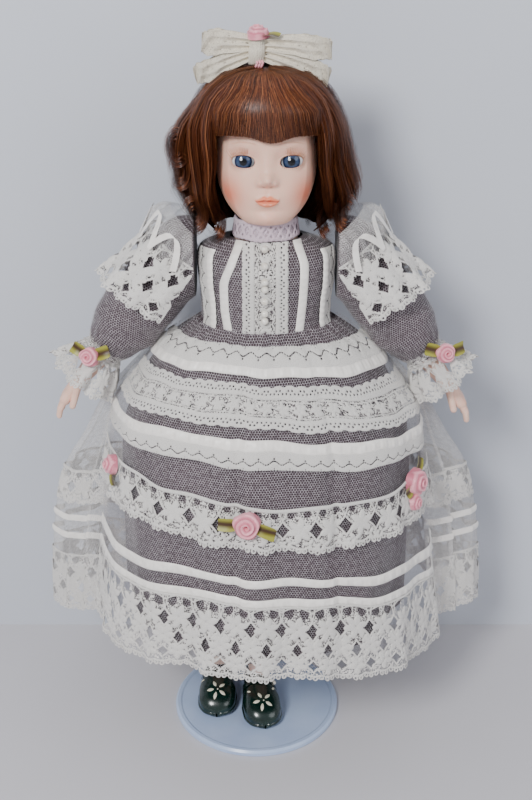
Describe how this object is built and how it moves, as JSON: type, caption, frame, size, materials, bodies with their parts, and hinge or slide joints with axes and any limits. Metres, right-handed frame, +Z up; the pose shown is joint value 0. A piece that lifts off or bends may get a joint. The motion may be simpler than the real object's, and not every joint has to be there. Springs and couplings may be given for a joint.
{
  "type": "porcelain doll",
  "caption": "Porcelain doll in a dark net dress with lace flounces, ribbon roses and a hair bow, held at the waist by a sprung clip on a round disc stand.",
  "frame": {"origin": "centre of the underside of the stand's disc, on the surface that it stands on", "axes": "+Z up, -Y the way that the doll faces, +X to the right of someone facing the doll"},
  "size_m": [0.263, 0.1636, 0.4085],
  "materials": {
    "disc_enamel": "smooth pale blue-white enamel",
    "plated_steel": "bright plating",
    "clip_vinyl": "white vinyl sleeving",
    "body_cloth": "plain woven cotton, stuffed",
    "bisque": "matte bisque porcelain with painted features",
    "dress_dark": "dark plum-charcoal satin lining",
    "net_white": "fine hexagonal white net over the lining",
    "lace_white": "off-white machine lace with flowers, diamonds and scallops",
    "collar_lilac": "pinkish-lilac lace band",
    "satin_white": "narrow white satin ribbon, soft sheen",
    "pearl": "pearlised beads",
    "ribbon_pink": "rolled pink satin ribbon",
    "ribbon_olive": "olive ribbon leaves",
    "bow_cream": "sheer cream ribbon with a lace edge",
    "hair_auburn": "combed auburn synthetic fibre with a soft gloss",
    "wig_mesh": "knitted wig cap",
    "eye_glass": "polished blue glass",
    "lash_fibre": "fine brown fibre",
    "shoe_green": "glossy dark green patent",
    "petal_cream": "cream raised petals"
  },
  "bodies": {
    "stand": {"stand_disc": "disc_enamel", "stand_tube": "plated_steel"},
    "thumb_screw": {"stand_thumb_screw": "plated_steel"},
    "post": {"post_rod": "plated_steel", "clip_hub": "clip_vinyl"},
    "clip_left": {"clip_arm_left": "clip_vinyl"},
    "clip_right": {"clip_arm_right": "clip_vinyl"},
    "doll": {"cloth_body": "body_cloth", "shoulder_plate": "bisque", "bodice": "dress_dark", "neck_collar": "collar_lilac", "bodice_placket": "lace_white", "placket_pearls": "pearl", "bodice_ribbons": "satin_white", "bodice_side_trim": "lace_white", "skirt_lining": "dress_dark", "skirt_net": "net_white", "skirt_back_net": "net_white", "skirt_ribbons": "satin_white", "skirt_lace_upper": "lace_white", "skirt_lace_wide": "lace_white", "skirt_lace_scalloped": "lace_white", "skirt_lace_flounce": "lace_white", "skirt_satin_stripes": "satin_white", "skirt_hem_lace": "lace_white", "back_net_trims": "lace_white", "skirt_roses": "ribbon_pink", "skirt_leaves": "ribbon_olive"},
    "head": {"head_shell": "bisque", "eye_left": "eye_glass", "eye_right": "eye_glass", "eyelashes": "lash_fibre", "wig_cap": "wig_mesh", "wig_hair": "hair_auburn", "hair_bow": "bow_cream", "bow_rose": "ribbon_pink", "bow_leaves": "ribbon_olive"},
    "arm_left": {"arm_cloth_left": "body_cloth", "forearm_left": "bisque", "sleeve_left": "dress_dark", "shoulder_flounce_left": "lace_white", "cuff_lace_left": "lace_white", "cuff_rose_left": "ribbon_pink", "cuff_leaves_left": "ribbon_olive"},
    "leg_left": {"thigh_left": "body_cloth", "lower_leg_left": "bisque", "shoe_left": "shoe_green", "shoe_flower_left": "petal_cream"},
    "arm_right": {"arm_cloth_right": "body_cloth", "forearm_right": "bisque", "sleeve_right": "dress_dark", "shoulder_flounce_right": "lace_white", "cuff_lace_right": "lace_white", "cuff_rose_right": "ribbon_pink", "cuff_leaves_right": "ribbon_olive"},
    "leg_right": {"thigh_right": "body_cloth", "lower_leg_right": "bisque", "shoe_right": "shoe_green", "shoe_flower_right": "petal_cream"}
  },
  "joints": [
    {"name": "screw_turn", "type": "hinge", "parent": "stand", "child": "thumb_screw", "pos_m": [0.006, 0.03, 0.112], "axis": [0, 1, 0], "range_deg": [0, 180]},
    {"name": "post_height", "type": "slide", "parent": "stand", "child": "post", "axis": [0, 0, 1], "range_m": [0, 0.03]},
    {"name": "clip_left_spring", "type": "hinge", "parent": "post", "child": "clip_left", "pos_m": [0, 0.026, 0.238], "axis": [0, 0, -1], "range_deg": [0, 25], "stiffness_Nm_per_rad": 0.02},
    {"name": "clip_right_spring", "type": "hinge", "parent": "post", "child": "clip_right", "pos_m": [0.012, 0.026, 0.238], "axis": [0, 0, 1], "range_deg": [0, 25], "stiffness_Nm_per_rad": 0.02},
    {"name": "doll_lift", "type": "slide", "parent": "post", "child": "doll", "axis": [0, 0, 1], "range_m": [0, 0.018]},
    {"name": "neck_turn", "type": "hinge", "parent": "doll", "child": "head", "pos_m": [0.006, 0, 0.3], "axis": [0, 0, 1], "range_deg": [-35, 35]},
    {"name": "shoulder_left_swing", "type": "hinge", "parent": "doll", "child": "arm_left", "pos_m": [-0.037, 0, 0.297], "axis": [-1, 0, 0], "range_deg": [-20, 75]},
    {"name": "shoulder_right_swing", "type": "hinge", "parent": "doll", "child": "arm_right", "pos_m": [0.049, 0, 0.297], "axis": [-1, 0, 0], "range_deg": [-20, 75]},
    {"name": "hip_left_swing", "type": "hinge", "parent": "doll", "child": "leg_left", "pos_m": [-0.008, 0.008, 0.19], "axis": [-1, 0, 0], "range_deg": [0, 30]},
    {"name": "hip_right_swing", "type": "hinge", "parent": "doll", "child": "leg_right", "pos_m": [0.02, 0.008, 0.19], "axis": [-1, 0, 0], "range_deg": [0, 30]}
  ]
}
